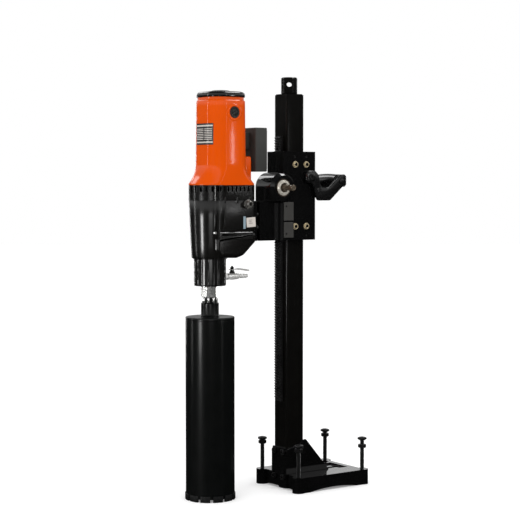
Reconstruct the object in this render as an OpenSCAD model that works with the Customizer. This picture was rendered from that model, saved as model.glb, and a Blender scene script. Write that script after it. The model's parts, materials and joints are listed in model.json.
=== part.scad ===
// Core drill rig: base, column and rack, feed carriage, geared motor and core bit.
// The origin lies on the column axis at floor level, +Z points up, and the drill
// stands in front of the column on the -X side.

/* [Stand] */
// Side of the square column tube
col_w = 50; // [50:0.5:50.5]
// Height of the column's top edge above the floor
col_h = 926; // [915:1:960]
// Wall thickness of the column tube
col_t = 4; // [3:0.5:4.5]
// Height of the base casting's top face
base_h = 36; // [32:1:40]
// Radius of the corner bosses of the base
boss_r = 14.5; // [13:0.5:15.5]
// Height of the leveling screws' head tops
lev_h = 113; // [108:1:120]

/* [Feed] */
// Lowest tooth of the feed rack
rack_z0 = 208; // [180:1:210]
// Upper end of the feed rack
rack_z1 = 832; // [820:1:840]
// Height of the pinion axis in the rest position
pin_z = 711; // [711:1:711]

/* [Carriage] */
// Lower face of the carriage
car_z0 = 589; // [585:1:592]
// Upper face of the carriage
car_z1 = 795; // [793:1:800]
// Half width of the carriage
car_y = 46; // [45:0.5:47]

/* [Motor] */
// Distance from the column axis to the spindle axis
sp_d = 224; // [224:1:224]
// Width of the motor housing
mot_w = 100; // [98:0.5:101]
// Top of the motor housing shell
mot_h = 916; // [914:1:920]

/* [Core bit] */
// Outer radius of the bit's tube
bit_r = 56; // [40:0.5:60]
// Wall thickness of the bit's tube
bit_t = 2.5; // [2:0.25:4]
// Number of segments in the crown
seg_n = 12; // [8:1:14]

// Height of the water valve's axis
valve_z = 507.5; // [504:0.5:520]

/* [Hidden] */
$fn = 64;
c2 = col_w/2;
SX = -sp_d;          // spindle axis
AX = -194;           // armature axis
// The intermediate axis is 48 mm from the spindle and 24 mm from the armature.
ix = (48*48 - 24*24 + 30*30)/60;
iy = sqrt(48*48 - ix*ix);
IX = SX + ix;
IY = iy;
PX = -52;            // feed pinion axis
mod_f = 2;
zf = 18;
pitch = PI*mod_f;
lx = [-25.5, 165.2]; // leveling screw positions
ly = [-72.6, 72.6];

// ---------- helpers ----------
function inv(a) = tan(a)*180/PI - a;
function lerp(a, b, t) = a + (b - a)*t;

// Square with round corners, centred.
module rsq(w, d, r) {
  square([w - 2*r, d], center = true);
  square([w, d - 2*r], center = true);
  for (sx = [-1, 1], sy = [-1, 1]) translate([sx*(w/2 - r), sy*(d/2 - r)]) circle(r);
}
module ring(ro, ri, h) {
  difference() { cylinder(r = ro, h = h); translate([0, 0, -1]) cylinder(r = ri, h = h + 2); }
}
// Box given by its two corners.
module bx(a, b) { translate(a) cube([b[0] - a[0], b[1] - a[1], b[2] - a[2]]); }
// Cylinder along Y or X, starting at point p.
module ycyl(p, r, l, fn = 48) { translate(p) rotate([-90, 0, 0]) cylinder(r = r, h = l, $fn = fn); }
module xcyl(p, r, l, fn = 48) { translate(p) rotate([0, 90, 0]) cylinder(r = r, h = l, $fn = fn); }

// Involute spur gear outline, a tooth centred on +X. bl is the backlash at the pitch circle.
module gear2d(m, z, bl) {
  r = m*z/2; rb = r*cos(20); ra = r + m; rf = r - 1.25*m;
  hp = 90/z - bl/2/r*180/PI + inv(20);
  function th(q) = hp - inv(acos(min(1, rb/q)));
  rs = max(rb, rf);
  qs = [for (k = [0:4]) rs + (ra - rs)*k/4];
  polygon([for (i = [0:z - 1])
    let (a = i*360/z)
    for (p = concat([[rf, -th(rs)]], [for (q = qs) [q, -th(q)]],
                    [for (k = [4:-1:0]) [qs[k], th(qs[k])]], [[rf, th(rs)]]))
      [p[0]*cos(a + p[1]), p[0]*sin(a + p[1])]]);
}
module gear(m, z, h, bore, bl, a0) {
  difference() {
    rotate([0, 0, a0]) linear_extrude(h) gear2d(m, z, bl);
    translate([0, 0, -1]) cylinder(r = bore, h = h + 2);
  }
}
// Hexagon across flats.
module hex(af, h) { cylinder(r = af/2/cos(30), h = h, $fn = 6); }

// ---------- stand ----------
module base_plan() {
  translate([(lx[1] - 28)/2 + 2, 0]) square([lx[1] + 26, 160], center = true);
  translate([70, 0]) square([190, 174 - 4], center = true);
  for (x = lx, y = ly) translate([x, y]) circle(boss_r);
}
module base_plate() {
  color("#1c1d1f") difference() {
    union() {
      difference() {
        linear_extrude(base_h) base_plan();
        // Hollow underside with walls all round.
        difference() {
          translate([0, 0, -1]) linear_extrude(base_h - 11) translate([69.5, 0]) square([174, 148], center = true);
          for (x = lx, y = ly) translate([x, y, -2]) cylinder(r = boss_r, h = base_h);
          bx([-30, -31, -2], [97, 31, base_h]);
        }
        // Arched lower edges leave four feet.
        translate([70, -100, -404]) rotate([-90, 0, 0]) cylinder(r = 410, h = 200, $fn = 180);
        translate([-60, 0, -470]) rotate([0, 90, 0]) cylinder(r = 475.5, h = 300, $fn = 180);
      }
      // Corner feet and the pad under the column reach the floor.
      for (x = lx, y = ly) translate([x, y, 0]) cylinder(r = boss_r, h = 20);
      cylinder(r = 24, h = 20);
    }
    for (x = lx, y = ly) translate([x, y, -1]) cylinder(r = 5.05, h = base_h + 2);
    // Anchor slot in a shallow recess.
    bx([99, -34, base_h - 4], [152, 34, base_h + 1]);
    translate([0, 0, -1]) linear_extrude(base_h + 2) {
      translate([125, 0]) square([36, 14], center = true);
      for (s = [-18, 18]) translate([125 + s, 0]) circle(7);
    }
    // Small bubble window beside the rear left screw.
    translate([150, 52, base_h - 6]) cylinder(r = 9, h = 7);
    // Seat of the shoe and its bolts.
    bx([-40, -29.5, -1], [-25, 29.5, base_h + 1]);
    for (y = [-17, 17]) xcyl([-26, y, 28], 4.5, 22);
  }
}
module column_shoe() {
  color("#1a1b1d") difference() {
    union() {
      bx([-29.2, -29.2, 5.6], [-25.2, 29.2, 92]);
      bx([-29.2, -26, 92], [-25.2, 26, 98]);
      // Side cheeks run back into long triangular gussets.
      for (s = [-1, 1]) translate([0, s*25.2 + (s > 0 ? 4 : 0), 0]) rotate([90, 0, 0])
        linear_extrude(4) polygon([[-25.2, base_h], [-25.2, 96], [-14, 98], [0, 101], [20, 113], [29, 115], [98, base_h]]);
      bx([25.2, -25.2, base_h], [29.2, 25.2, 100]);
    }
    for (y = [-17, 17]) {
      xcyl([-30, y, 28], 4.5, 8);
      xcyl([-30, y, 88], 4.5, 8);
    }
  }
}
module shoe_bolts() {
  color("#2a2b2d") for (y = [-17, 17], z = [28, 88]) {
    difference() {
      xcyl([-34.2, y, z], 6.5, 5);
      translate([-35, y, z]) rotate([0, 90, 0]) hex(6, 3.5);
    }
    xcyl([-29.2, y, z], 4.5, z > 50 ? 8.2 : 20);
  }
}
module column_tube() {
  color("#202123") difference() {
    translate([0, 0, base_h]) linear_extrude(col_h - base_h) rsq(col_w, col_w, 4);
    translate([0, 0, base_h - 1]) linear_extrude(col_h - base_h + 2) rsq(col_w - 2*col_t, col_w - 2*col_t, 1);
    for (y = [-17, 17]) xcyl([-26, y, 88], 4.5, 6);
    for (z = [rack_z0 + 30:188:rack_z1 - 20]) xcyl([-26, 0, z], 2.5, 6);
  }
}
// Straight rack with a gap facing the pinion.
module gear_rack() {
  n0 = ceil((rack_z0 - pin_z)/pitch) + 1;
  n1 = floor((rack_z1 - pin_z)/pitch) - 1;
  t = pitch/4 - 0.07;
  xr = -(c2 + 6.5); xt = -(c2 + 11); dy = tan(20);
  function w(x) = t + (abs(x) - (c2 + 9))*-dy;
  color("#1b1b1c") difference() {
    translate([0, 10, 0]) rotate([90, 0, 0]) linear_extrude(20) polygon(concat(
      [[-c2, rack_z0], [xr, rack_z0]],
      [for (k = [n0:n1]) let (zc = pin_z + (k + 0.5)*pitch)
        for (p = [[xr, zc - w(xr)], [xt, zc - w(xt)], [xt, zc + w(xt)], [xr, zc + w(xr)]]) p],
      [[xr, rack_z1], [-c2, rack_z1]]));
    for (z = [rack_z0 + 30:188:rack_z1 - 20]) {
      xcyl([-40, 0, z], 2.5, 20);
      xcyl([-40, 0, z], 4.6, 12);
    }
  }
}
module rack_screws() {
  color("#3a3a3c") for (z = [rack_z0 + 30:188:rack_z1 - 20]) {
    xcyl([-31.3, 0, z], 4.3, 3.3);
    xcyl([-28, 0, z], 2.4, 9);
  }
}
module column_top_nut() {
  color("#2b2c2e") difference() {
    union() {
      translate([0, 0, col_h - 50]) linear_extrude(50) rsq(col_w - 2*col_t, col_w - 2*col_t, 1);
      translate([0, 0, col_h]) linear_extrude(2) rsq(col_w, col_w, 4);
      translate([0, 0, col_h + 2]) linear_extrude(2) rsq(col_w - 4, col_w - 4, 3);
    }
    translate([0, 0, col_h - 51]) cylinder(r = 15.05, h = 60);
  }
}
module jack_screw() {
  z0 = col_h + 4.4;
  color("#232425") difference() {
    rotate_extrude($fn = 96) polygon(concat(
      [[0, col_h - 62], [13.5, col_h - 62], [15, col_h - 60.5]],
      [[15, z0], [17.5, z0], [19, z0 + 1.5], [19, z0 + 36.6], [17, z0 + 38.6], [0, z0 + 38.6]]));
    translate([0, 0, z0 + 22.4]) rotate([0, 0, 54.75]) rotate([0, 90, 0])
      translate([0, 0, -25]) cylinder(r = 6.25, h = 50, $fn = 48);
  }
}
module level_screw(i) {
  color("#18181a") translate([lx[i%2], ly[floor(i/2)], 0]) difference() {
    union() {
      translate([0, 0, 6]) cylinder(r = 5, h = lev_h - 12);
      translate([0, 0, 2]) cylinder(r1 = 3, r2 = 5, h = 4, $fn = 48);
      translate([0, 0, lev_h - 6]) cylinder(r = 11, h = 3.5);
      translate([0, 0, lev_h - 2.5]) cylinder(r1 = 11, r2 = 9.5, h = 1.5, $fn = 48);
      translate([0, 0, lev_h - 1]) cylinder(r = 6, h = 1);
      translate([0, 0, lev_h - 8]) cylinder(r = 7, h = 2);
    }
    translate([0, 0, lev_h - 4]) hex(6, 5);
  }
}
module level_screw_1() { level_screw(0); }
module level_screw_2() { level_screw(1); }
module level_screw_3() { level_screw(2); }
module level_screw_4() { level_screw(3); }
// Hexagon lock nut on a leveling screw, d below the head.
module lock_nut(i, d) {
  color("#1f1f21") translate([lx[i%2], ly[floor(i/2)], lev_h - 17 - d]) difference() {
    hex(17, 8.5);
    translate([0, 0, -1]) cylinder(r = 5, h = 12);
  }
}
module lock_nut_1() { lock_nut(0, 1); }
module lock_nut_2() { lock_nut(1, 9); }
module lock_nut_3() { lock_nut(2, 0); }
module lock_nut_4() { lock_nut(3, 2); }

// ---------- carriage ----------
// Outline of the pinion housing seen along Y, r from its centre.
module barrel2d(r) {
  translate([PX + 1.5, pin_z + 0.5]) circle(r, $fn = 96);
  translate([PX + 1.5 - r, 680]) square([r, pin_z + 0.5 - 680]);
}
module barrel_slab(y, r, w) { translate([0, y + w, 0]) rotate([90, 0, 0]) linear_extrude(w) barrel2d(r); }
module carriage_housing() {
  y = car_y;
  color("#1b1b1d") difference() {
    union() {
      bx([-30, -y, car_z0], [42, y, car_z1]);
      bx([-51, -y, car_z0], [-30, y, 682]);
      bx([-51, -y, 682], [-30, 16, car_z1]);
      barrel_slab(-42.5, 35, 58.5);
      hull() { barrel_slab(-42.52, 35, 0.03); barrel_slab(-50, 28, 0.03); }
      // Round boss where the carrying handle's arm bolts on.
      for (s = [-1, 1]) ycyl([22, s > 0 ? y : -y - 2, 736], 15, 2);
    }
    // Column passage and the channel for the rack.
    bx([-30.2, -30, car_z0 - 1], [30, 30, car_z1 + 1]);
    bx([-38.5, -11.5, car_z0 - 1], [-20, 11.5, car_z1 + 1]);
    // Pinion chamber, open to the rack.
    ycyl([PX, -51, pin_z], 21, 57.5, 96);
    ycyl([PX, 6, pin_z], 12, 9);
    // Adjusting bolts and set screws in both sides.
    for (s = [-1, 1]) {
      for (x = [-16, 16], z = [621, 765]) ycyl([x, s > 0 ? 29 : -y - 1, z], 4, 18);
      for (p = [[-17, 783.3], [16, 783.3], [16, 600]]) ycyl([p[0], s > 0 ? y - 8 : -y - 1, p[1]], 2.5, 9);
      ycyl([22, s > 0 ? y - 12 : -y - 3, 736], 4, 15);
    }
    for (p = [[-25, 605], [25, 605], [-25, 665], [25, 665]]) xcyl([-52, p[0], p[1]], 4, 16);
  }
}
// Slide pads between the carriage and the column's four faces.
module guide_pads() {
  g = c2 + 0.15;
  color("#e6e1cf") for (z = [600, 745]) {
    for (s = [-1, 1]) bx([-20, s > 0 ? g : -30, z], [20, s > 0 ? 30 : -g, z + 40]);
    bx([g, -20, z], [30, 20, z + 40]);
    for (s = [-1, 1]) bx([-30.2, s > 0 ? 12.5 : -24, z], [-g, s > 0 ? 24 : -12.5, z + 40]);
  }
}
module gib_plates() {
  color("#5d5e60") for (s = [-1, 1]) {
    bx([-49.4, s > 0 ? car_y : -car_y - 2, 634.8], [-22.2, s > 0 ? car_y + 2 : -car_y, 677.6]);
    bx([-49.4, s > 0 ? car_y : -car_y - 2, 595.2], [-22.2, s > 0 ? car_y + 2 : -car_y, 631.2]);
  }
}
module carriage_bolts() {
  y = car_y;
  color("#b8935a") for (s = [-1, 1]) {
    for (x = [-16, 16], z = [621, 765]) {
      difference() {
        ycyl([x, s > 0 ? y : -y - 4, z], 6.2, 4);
        translate([x, s > 0 ? y + 5 : -y - 1.4, z]) rotate([90, 0, 0]) hex(6, 4);
      }
      ycyl([x, s > 0 ? 31 : -y, z], 4, y - 31);
    }
    for (p = [[-17, 783.3], [16, 783.3], [16, 600]])
      ycyl([p[0], s > 0 ? y - 7 : -y - 0.2, p[1]], 2.5, 7.2);
  }
}
// Flanged bush at the shaft end and a plain bush at the far end.
module pinion_bushes() {
  color("#c9c9cc") difference() {
    union() {
      ycyl([PX, -48.5, pin_z], 21, 38, 96);
      ycyl([PX, -53, pin_z], 18, 4.5, 96);
    }
    ycyl([PX, -54, pin_z], 7.55, 60);
    ycyl([PX, -54, pin_z], 11, 3.5);
  }
  color("#b08d57") difference() {
    ycyl([PX, 6.5, pin_z], 12, 8);
    ycyl([PX, 5, pin_z], 7.55, 12);
  }
}
module feed_pinion_shaft() {
  color("#a58c6b") {
    ycyl([PX, -62, pin_z], 7.5, 76);
    // Seat for the feed wheel's hub.
    ycyl([PX, -87.5, pin_z], 7, 25.5);
    ycyl([PX, -89, pin_z], 6, 1.5);
    translate([PX, 6, pin_z]) rotate([90, 0, 0]) linear_extrude(16) gear2d(mod_f, zf, 0.14);
  }
}
module handle_frame() {
  pts = [[9, 728], [9, 744], [15, 750], [36, 750], [46, 740], [50, 722], [53, 711], [76, 711], [113, 742],
         [124, 742], [128, 738], [128, 718], [124, 713], [117, 713], [80, 681], [44, 681], [38, 690], [33, 712], [24, 722], [15, 722]];
  color("#151516") for (s = [-1, 1]) difference() {
    translate([0, s > 0 ? car_y + 10.5 : -car_y - 2.5, 0]) rotate([90, 0, 0]) linear_extrude(8) polygon(pts);
    ycyl([22, s > 0 ? car_y : -car_y - 12, 736], 4, 12);
    ycyl([113, s > 0 ? car_y : -car_y - 12, 727], 4, 12);
  }
}
module handle_grip() {
  l = car_y + 2.5;
  color("#161617") difference() {
    translate([113, l, 727]) rotate([90, 0, 0]) rotate_extrude($fn = 72)
      polygon(concat([[0, 0]], [for (k = [0:12]) [15.5 + 2*sin(k*15), 2*l*k/12]], [[0, 2*l]]));
    ycyl([113, -l - 1, 727], 4, 16);
    ycyl([113, l - 15, 727], 4, 16);
  }
}
module handle_bolts() {
  o = car_y + 10.5;
  color("#2c2c2e") for (s = [-1, 1]) {
    difference() {
      ycyl([22, s > 0 ? o : -o - 5, 736], 7, 5);
      translate([22, s > 0 ? o + 6 : -o - 2, 736]) rotate([90, 0, 0]) hex(6, 4);
    }
    ycyl([22, s > 0 ? car_y - 10 : -o, 736], 4, 20.5);
    ycyl([113, s > 0 ? o : -o - 2, 727], 6, 2);
    ycyl([113, s > 0 ? o - 20 : -o, 727], 4, 20);
  }
}
module motor_bracket() {
  color("#1d1d1f") difference() {
    union() {
      bx([-126, -34, car_z0], [-117, 34, 680]);
      bx([-117, -20, car_z0 + 2], [-109.5, 20, 678]);
      bx([-109.5, -34, car_z0], [-62, 34, 680]);
      bx([-62, -41, car_z0], [-51, 41, 676]);
    }
    for (p = [[-25, 605], [25, 605], [-25, 665], [25, 665]]) {
      xcyl([-88, p[0], p[1]], 4, 40);
      xcyl([-110, p[0], p[1]], 6.8, 23);
    }
    for (p = [[-27, 620], [27, 620], [-27, 650], [27, 650]]) xcyl([-127, p[0], p[1]], 4, 11);
    // Clearance under the pinion housing.
    ycyl([PX + 1.5, -45, pin_z + 0.5], 35.2, 90, 96);
  }
}
module bracket_bolts() {
  color("#303032") {
    for (p = [[-25, 605], [25, 605], [-25, 665], [25, 665]]) {
      xcyl([-94, p[0], p[1]], 6.5, 7);
      xcyl([-87, p[0], p[1]], 4, 50);
    }
    for (p = [[-27, 620], [27, 620], [-27, 650], [27, 650]]) {
      xcyl([-117, p[0], p[1]], 6.5, 6);
      xcyl([-138, p[0], p[1]], 4, 21);
    }
  }
}

// ---------- switch box ----------
module switch_box() {
  color("#2e2f31") difference() {
    union() {
      bx([-117.5, -30, 748], [-84, 30, 849]);
      bx([-143.8, -6, 800], [-117.5, 28, 838]);
    }
    bx([-114.5, -27, 751], [-87, 27, 846]);
    bx([-144.5, 4, 809], [-113, 18, 829]);
    // Window for the rocker in the face away from the drill's feed side.
    bx([-111.5, 26, 790], [-96.5, 31, 818]);
    xcyl([-90, 0, 760], 6.5, 7);
  }
}
module switch_rocker() {
  color("#a31f1a") translate([-104, 29, 804]) rotate([0, 0, 0]) difference() {
    rotate([0, 90, 0]) translate([0, 0, -7]) cylinder(r = 13.2, h = 14, $fn = 72);
    bx([-10, 3.2, -20], [10, 20, 20]);
    bx([-10, -20, -20], [10, -1.6, 20]);
    translate([-10, 3.2, 0]) rotate([10, 0, 0]) cube([20, 10, 16]);
  }
}
module control_board() {
  color("#2f6b3a") {
    bx([-91, -24, 762], [-89.2, 24, 840]);
    bx([-112, -22, 768], [-91, 18, 786]);
  }
}
module cable_gland() {
  color("#a9abad") translate([-152, -44.5, 674]) rotate([90, 0, 0]) difference() {
    union() {
      translate([0, 0, -3.5]) cylinder(r = 7, h = 4);
      hex(17.5, 6);
      translate([0, 0, 6]) cylinder(r = 8, h = 4);
      translate([0, 0, 10]) cylinder(r1 = 8, r2 = 6, h = 5, $fn = 48);
    }
    translate([0, 0, -8]) cylinder(r = 4.3, h = 28);
  }
}

// ---------- motor ----------
// Plan outline that runs from the motor's round square (t = 0) to the case's outline (t = 1).
module plan(t, d) {
  hull() for (s = [-1, 1]) {
    translate([lerp(-194 - mot_w/2 + 35, SX, t), s*lerp(mot_w/2 - 35, 0.01, t)]) circle(lerp(35, 48, t) - d, $fn = 64);
    translate([lerp(-194 + mot_w/2 - 35, -141, t), s*lerp(mot_w/2 - 35, 31, t)]) circle(lerp(35, 15, t) - d, $fn = 64);
  }
}
module slab(z, t, d, h = 0.02) { translate([0, 0, z]) linear_extrude(h) plan(t, d); }
module motor_housing() {
  color("#e2590f") difference() {
    union() {
      translate([AX, 0, 764]) linear_extrude(mot_h - 764) rsq(mot_w, mot_w, 35);
      hull() { slab(764, 0, 0); slab(742, 0.18, 0); }
      hull() { slab(742, 0.18, 0); slab(726, 0.6, 0); }
      hull() { slab(726, 0.6, 0); slab(717, 1, 0, 2); }
      for (s = [-1, 1]) ycyl([-190, s > 0 ? 40 : -52, 881], 18, 12);
      // Tower for the shell's rear fixing screws.
      bx([-150, -24, 717], [-123, 24, 783]);
    }
    translate([AX, 0, 745]) linear_extrude(mot_h) rsq(mot_w - 7, mot_w - 7, 31.5);
    hull() { slab(745.5, 0.15, 4); slab(716, 0.75, 4); }
    for (s = [-1, 1]) ycyl([-190, s > 0 ? 38 : -53, 881], 13.5, 15);
    for (s = [-1, 1]) translate([-136, s*35, 715]) cylinder(r = 2.4, h = 6);
  }
}
module end_cap() {
  color("#141415") difference() {
    union() {
      translate([AX, 0, mot_h]) linear_extrude(9) rsq(mot_w - 0.6, mot_w - 0.6, 34.7);
      translate([AX, 0, mot_h + 9]) linear_extrude(2) rsq(mot_w - 4, mot_w - 4, 33);
      translate([AX, 0, mot_h + 11]) linear_extrude(2) rsq(mot_w - 12, mot_w - 12, 30);
      translate([AX, 0, mot_h + 13]) cylinder(r = 20, h = 3);
      translate([AX, 0, 895]) cylinder(r = 16, h = mot_h - 894);
      for (a = [45:90:315]) translate([AX, 0, 908]) rotate([0, 0, a]) bx([14, -2, 0], [42, 2, 9]);
    }
    translate([AX, 0, 890]) cylinder(r = 11, h = 17);
    for (a = [0:30:150]) translate([AX, 0, mot_h + 14.6]) rotate([0, 0, a]) bx([-16, -1, 0], [16, 1, 3]);
  }
}
module brush_caps() {
  color("#2a2a2b") for (s = [-1, 1]) difference() {
    ycyl([-190, s > 0 ? 47 : -51.5, 881], 13.4, 4.5);
    translate([-190, s*51.5, 881]) rotate([0, 45, 0]) cube([20, 3, 3.2], center = true);
  }
}
module brush_holders() {
  color("#c7a04c") for (s = [-1, 1]) translate([-190, 0, 881]) difference() {
    bx([-7, s > 0 ? 19 : -46.8, -7], [7, s > 0 ? 46.8 : -19, 7]);
    bx([-4.2, s > 0 ? 18 : -48, -4.2], [4.2, s > 0 ? 48 : -18, 4.2]);
  }
}
module carbon_brushes() {
  color("#333333") for (s = [-1, 1]) translate([-190, 0, 881]) {
    bx([-4, s > 0 ? 16.6 : -33, -4], [4, s > 0 ? 33 : -16.6, 4]);
    // Pressure spring, drawn as its envelope.
    ycyl([0, s > 0 ? 33 : -46.9, 0], 3, 13.9);
  }
}
module stator_core() {
  color("#8d9094") translate([AX, 0, 0]) difference() {
    translate([0, 0, 748]) linear_extrude(84) rsq(mot_w - 7.2, mot_w - 7.2, 31.4);
    translate([0, 0, 747]) cylinder(r = 29, h = 90);
    for (a = [45:90:315]) rotate([0, 0, a]) bx([31, -8, 747], [42, 8, 840]);
  }
}
module field_coils() {
  color("#a65a2a") translate([AX, 0, 0]) {
    for (a = [45:90:315]) rotate([0, 0, a]) bx([31.5, -7.5, 740], [41.5, 7.5, 842]);
    for (z = [738, 833]) translate([0, 0, z]) ring(42, 31, 9);
  }
}
module armature_shaft() {
  color("#b9bcc0") translate([AX, 0, 0]) {
    translate([0, 0, 673]) cylinder(r = 6, h = 234);
    translate([0, 0, 653]) rotate([0, 0, atan2(IY, IX - AX)]) linear_extrude(20) gear2d(1, 12, 0.1);
  }
}
module armature_core() {
  color("#9c6b3f") translate([AX, 0, 0]) difference() {
    union() {
      translate([0, 0, 748]) cylinder(r = 28, h = 84);
      translate([0, 0, 738]) cylinder(r = 22, h = 104);
    }
    translate([0, 0, 730]) cylinder(r = 6, h = 120);
    for (a = [0:30:330]) rotate([0, 0, a]) bx([23, -1.2, 745], [30, 1.2, 840]);
  }
}
module commutator() {
  color("#b4713d") translate([AX, 0, 0]) difference() {
    translate([0, 0, 866]) cylinder(r = 16, h = 28);
    translate([0, 0, 860]) cylinder(r = 6, h = 40);
    for (a = [0:22.5:350]) rotate([0, 0, a]) bx([14.5, -0.3, 870], [17, 0.3, 900]);
  }
}
module cooling_fan() {
  color("#303133") translate([AX, 0, 0]) difference() {
    union() {
      translate([0, 0, 702]) cylinder(r = 36, h = 2);
      translate([0, 0, 702]) cylinder(r = 11, h = 18);
      for (a = [0:36:324]) rotate([0, 0, a]) bx([9, -1, 702], [36, 1, 716]);
    }
    translate([0, 0, 700]) cylinder(r = 6, h = 30);
  }
}
module motor_bearings() {
  color("#c6c8cb") translate([AX, 0, 0]) {
    translate([0, 0, 689]) ring(14, 6.05, 8);
    translate([0, 0, 898]) ring(11, 6.05, 8);
  }
}
// Case outline: round lobe about the spindle and a squarer body behind it.
module case_plan(w, r) {
  translate([SX, 0]) circle(r, $fn = 96);
  translate([(-241 - 126)/2, 0]) rsq(115, 2*w, 13);
}
module vent_ring() {
  color("#19191a") difference() {
    union() {
      translate([0, 0, 683]) linear_extrude(34) case_plan(46, 48);
      translate([IX, IY, 673]) cylinder(r = 12.5, h = 10);
    }
    translate([0, 0, 697]) linear_extrude(21) { translate([SX, 0]) circle(43, $fn = 96); translate([-183.5, 0]) rsq(107, 84, 9); }
    // Cooling air slots.
    for (a = [100:16:260]) translate([SX, 0, 702]) rotate([0, 0, a]) bx([40, -2.5, 0], [52, 2.5, 12]);
    for (x = [-228:11:-140], s = [-1, 1]) bx([x, s > 0 ? 40 : -50, 703], [x + 4, s > 0 ? 50 : -40, 714]);
    translate([AX, 0, 688]) cylinder(r = 14, h = 20);
    translate([AX, 0, 680]) cylinder(r = 8, h = 20);
    translate([IX, IY, 672]) cylinder(r = 9.5, h = 9.5);
    for (p = [[-238.5, 43.5], [-238.5, -43.5], [-136, 35], [-136, -35]]) translate([p[0], p[1], 680]) cylinder(r = 2.4, h = 40);
  }
}
module gear_case() {
  color("#171718") difference() {
    union() {
      translate([SX, 0, 551]) cylinder(r1 = 41, r2 = 47.6, h = 132, $fn = 96);
      translate([-183.5, 0, 606]) linear_extrude(77) rsq(115, 89, 13);
      translate([0, 47.5, 0]) rotate([90, 0, 0]) linear_extrude(95)
        polygon([[-237, 612], [-237, 566], [-228, 556], [-214, 552], [-178, 552], [-162, 558], [-126, 590], [-126, 606], [-132, 612]]);
    }
    // Gear chambers.
    translate([SX, 0, 612]) cylinder(r = 39.5, h = 32);
    translate([SX, 0, 652]) cylinder(r = 39.5, h = 40);
    translate([IX, IY, 600]) cylinder(r = 21, h = 90);
    translate([AX, 0, 650]) cylinder(r = 10, h = 40);
    // Opening beside the bearing web.
    difference() {
      translate([SX, 0, 640]) cylinder(r = 39.5, h = 20);
      translate([SX, 0, 630]) cylinder(r = 21, h = 40);
      bx([SX - 50, -30, 630], [SX, 30, 670]);
    }
    translate([SX, 0, 630]) cylinder(r = 17, h = 40);
    translate([SX, 0, 558]) cylinder(r = 28, h = 60);
    translate([SX, 0, 545]) cylinder(r = 20, h = 20);
    translate([IX, IY, 589]) cylinder(r = 9.5, h = 20);
    for (y = [-43.5, 43.5]) {
      translate([-238.5, y, 600]) cylinder(r = 2.4, h = 90);
      bx([-246, y > 0 ? 38 : -50, 598], [-231.5, y > 0 ? 50 : -38, 612]);
    }
    for (y = [-35, 35]) {
      translate([-136, y, 590]) cylinder(r = 2.4, h = 95);
      translate([-136, y, 560]) cylinder(r = 4.6, h = 44);
    }
    // Seam groove between the lobe and the flat side.
    for (s = [-1, 1]) bx([-246, s > 0 ? 42.4 : -50, 613], [-243.2, s > 0 ? 50 : -42.4, 684]);
    for (p = [[-27, 620], [27, 620], [-27, 650], [27, 650]]) xcyl([-139, p[0], p[1]], 4, 15);
    translate([-152, -49, 674]) rotate([-90, 0, 0]) cylinder(r = 7, h = 9);
  }
}
module case_screws() {
  color("#8b8c8e") {
    for (y = [-43.5, 43.5]) translate([-238.5, y, 0]) {
      translate([0, 0, 607.5]) cylinder(r = 4.2, h = 4.5);
      translate([0, 0, 612]) cylinder(r = 2.3, h = 104);
    }
    for (y = [-35, 35]) translate([-136, y, 0]) {
      translate([0, 0, 599.5]) cylinder(r = 4.2, h = 4.5);
      translate([0, 0, 604]) cylinder(r = 2.3, h = 116);
    }
  }
}
module intermediate_gear() {
  color("#aeb1b5") translate([IX, IY, 656])
    gear(1, 36, 14, 7, 0.1, atan2(-IY, AX - IX) + 5);
}
module intermediate_shaft() {
  color("#b9bcc0") translate([IX, IY, 0]) {
    translate([0, 0, 590.5]) cylinder(r = 5, h = 28);
    translate([0, 0, 618]) rotate([0, 0, atan2(-IY, SX - IX)]) linear_extrude(26) gear2d(1.5, 16, 0.12);
    translate([0, 0, 644]) cylinder(r = 7, h = 28);
    translate([0, 0, 672]) cylinder(r = 5, h = 9.5);
  }
}
module intermediate_bearings() {
  color("#c6c8cb") translate([IX, IY, 0]) {
    translate([0, 0, 591]) ring(9.5, 5.05, 8);
    translate([0, 0, 673.5]) ring(9.5, 5.05, 8);
  }
}
module output_gear() {
  color("#aeb1b5") translate([SX, 0, 620])
    gear(1.5, 48, 20, 14, 0.12, atan2(IY, IX - SX) + 3.75);
}
module spindle_shaft() {
  color("#c2c4c7") translate([SX, 0, 0]) difference() {
    union() {
      translate([0, 0, 472]) cylinder(r = 14, h = 172);
      translate([0, 0, 644]) cylinder(r = 9, h = 18);
      translate([0, 0, 612]) ring(17, 13.9, 8);
    }
    translate([0, 0, 471]) cylinder(r = 5, h = 52);
    ycyl([0, -15, 516], 3, 30, 32);
  }
}
module spindle_bearings() {
  color("#c6c8cb") translate([SX, 0, 0]) {
    translate([0, 0, 645]) ring(17, 9.05, 7);
    translate([0, 0, 559]) ring(28, 14.05, 16);
  }
}
module spindle_collar() {
  color("#1a1a1b") difference() {
    translate([SX, 0, 0]) difference() {
      union() {
        translate([0, 0, 490]) cylinder(r = 36.7, h = 61, $fn = 96);
        translate([0, 0, 488.5]) cylinder(r1 = 35.2, r2 = 36.7, h = 1.5, $fn = 96);
      }
      translate([0, 0, 487]) cylinder(r = 20, h = 70);
      for (a = [9:18:351]) rotate([0, 0, a]) translate([38.2, 0, 487]) cylinder(r = 2.6, h = 60, $fn = 24);
    }
    xcyl([SX + 18, 0, valve_z], 6, 22);
  }
}
module water_seals() {
  color("#6b2d22") translate([SX, 0, 0]) for (z = [491, 534]) translate([0, 0, z]) ring(20, 14.08, 8);
}
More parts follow.
